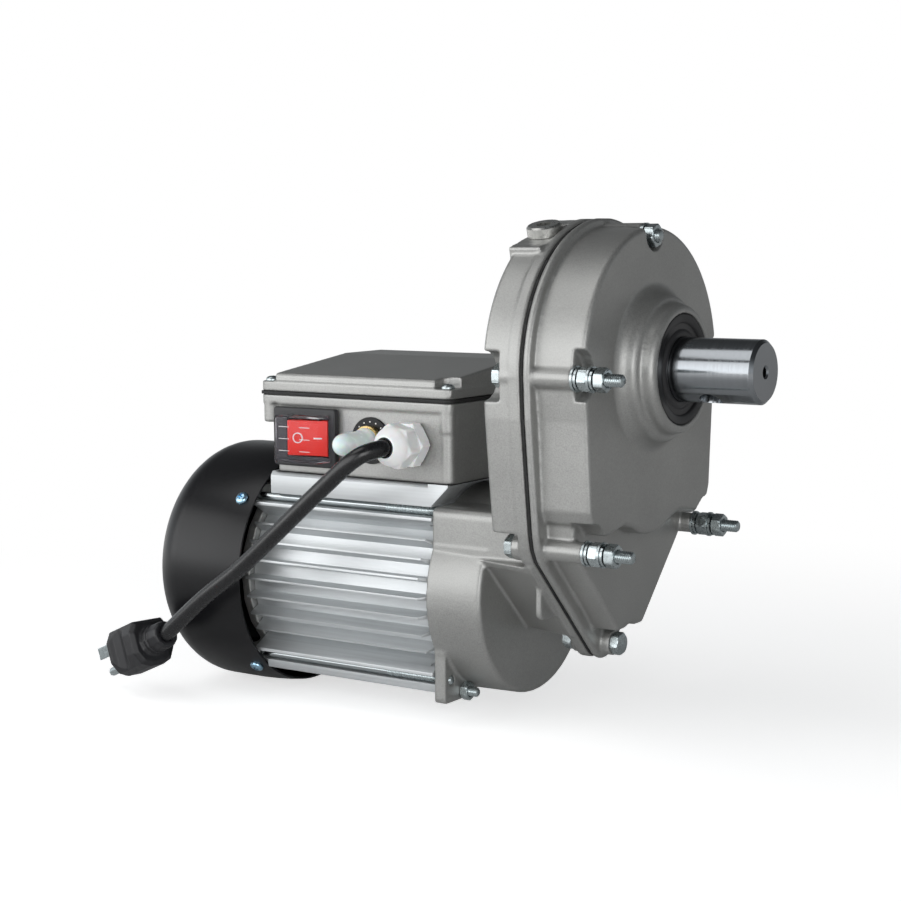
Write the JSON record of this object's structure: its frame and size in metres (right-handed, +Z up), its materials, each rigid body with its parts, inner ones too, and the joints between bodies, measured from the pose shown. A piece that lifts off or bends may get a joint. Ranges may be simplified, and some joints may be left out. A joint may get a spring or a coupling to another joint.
{
  "type": "gearmotor",
  "caption": "Single-phase gearmotor: finned motor, fan cover, terminal box with switch, parallel-shaft gearbox, round output shaft with cross hole, stud mounting, mains cord.",
  "frame": {"origin": "on the output-shaft axis, in the plane of the four stud seats on the gearbox cover", "axes": "+X along the output shaft, out of the gearbox towards the driven machine; +Z up, from the motor axis towards the output axis; -Y is the side with the switch and the cord"},
  "size_m": [0.3501, 0.1601, 0.2462],
  "materials": {
    "cast": "bead-blasted die casting",
    "extrusion": "bright extrusion with lengthwise die lines",
    "shaft_steel": "turned and ground",
    "gear_steel": "machined",
    "bearing_steel": "ground",
    "plug_steel": "plain",
    "zinc": "bright zinc plated",
    "lamination": "stacked sheet steel",
    "winding": "varnished copper wire",
    "black_paint": "gloss",
    "gasket": "matt",
    "seal_rubber": "satin",
    "cord_jacket": "glossy jacket",
    "black_plastic": "moulded",
    "white_nylon": "moulded",
    "red_plastic": "gloss",
    "clear_plastic": "clear moulding",
    "milky_silicone": "translucent",
    "brass": "plain"
  },
  "bodies": {
    "housing": {"gearbox_rear_housing": "cast", "housing_gasket": "gasket", "gearbox_front_cover": "cast", "output_bearing_front": "bearing_steel", "output_bearing_rear": "bearing_steel", "oil_seal": "seal_rubber", "motor_bearing_front": "bearing_steel", "motor_bearing_rear": "bearing_steel", "stator_core": "lamination", "stator_winding_front": "winding", "stator_winding_rear": "winding", "motor_frame": "extrusion", "rear_end_shield": "cast", "fan_cover": "black_paint", "tie_rod_upper_left": "zinc", "tie_rod_upper_right": "zinc", "tie_rod_lower_left": "zinc", "tie_rod_lower_right": "zinc", "stud_upper_left": "zinc", "stud_upper_right": "zinc", "stud_lower_left": "zinc", "stud_lower_right": "zinc", "clamp_nut_upper_left": "zinc", "clamp_nut_upper_right": "zinc", "clamp_nut_lower_left": "zinc", "clamp_nut_lower_right": "zinc", "lock_nut_upper_left": "zinc", "lock_nut_upper_right": "zinc", "lock_nut_lower_left": "zinc", "lock_nut_lower_right": "zinc", "top_bolt": "zinc", "top_nut": "zinc", "bottom_bolt": "zinc", "bottom_nut": "zinc", "oil_plug": "plug_steel", "terminal_box_body": "cast", "lid_gasket": "gasket", "terminal_box_lid": "cast", "start_capacitor": "black_plastic", "switch_body": "black_plastic", "switch_hood": "clear_plastic", "thermal_breaker": "brass", "reset_label_plate": "black_paint", "reset_boot": "milky_silicone", "gland_body": "white_nylon", "gland_nut": "white_nylon", "power_cord": "cord_jacket", "power_plug": "black_plastic"},
    "rotor": {"motor_shaft": "shaft_steel", "rotor_core": "lamination", "cooling_fan": "black_plastic"},
    "intermediate_1": {"intermediate_shaft_1": "gear_steel", "intermediate_gear_1": "gear_steel"},
    "intermediate_2": {"intermediate_shaft_2": "gear_steel", "intermediate_gear_2": "gear_steel"},
    "output": {"output_shaft": "shaft_steel", "output_gear": "gear_steel"},
    "rocker": {"switch_rocker": "red_plastic"},
    "reset": {"reset_button": "white_nylon"}
  },
  "joints": [
    {"name": "motor_spin", "type": "hinge", "parent": "housing", "child": "rotor", "pos_m": [0, 0, -0.112], "axis": [1, 0, 0], "continuous": true},
    {"name": "intermediate_1_spin", "type": "hinge", "parent": "housing", "child": "intermediate_1", "pos_m": [0, -0.01006, -0.08587], "axis": [1, 0, 0], "continuous": true},
    {"name": "intermediate_2_spin", "type": "hinge", "parent": "housing", "child": "intermediate_2", "pos_m": [0, 0.004, -0.05937], "axis": [1, 0, 0], "continuous": true},
    {"name": "output_spin", "type": "hinge", "parent": "housing", "child": "output", "pos_m": [0, 0, 0], "axis": [1, 0, 0], "continuous": true},
    {"name": "rocker_tilt", "type": "hinge", "parent": "housing", "child": "rocker", "pos_m": [-0.163, -0.0458, -0.0376], "axis": [0, 0, -1], "range_deg": [0, 24.8]},
    {"name": "reset_press", "type": "slide", "parent": "housing", "child": "reset", "axis": [0, 1, 0], "range_m": [0, 0.002], "stiffness_N_per_m": 400, "springref_m": -0.001, "deforming": ["reset_boot"]}
  ],
  "couplings": [
    {"joint": "intermediate_1_spin", "follows": "motor_spin", "ratio": -0.24444},
    {"joint": "intermediate_2_spin", "follows": "motor_spin", "ratio": 0.081481},
    {"joint": "output_spin", "follows": "motor_spin", "ratio": -0.01746}
  ]
}
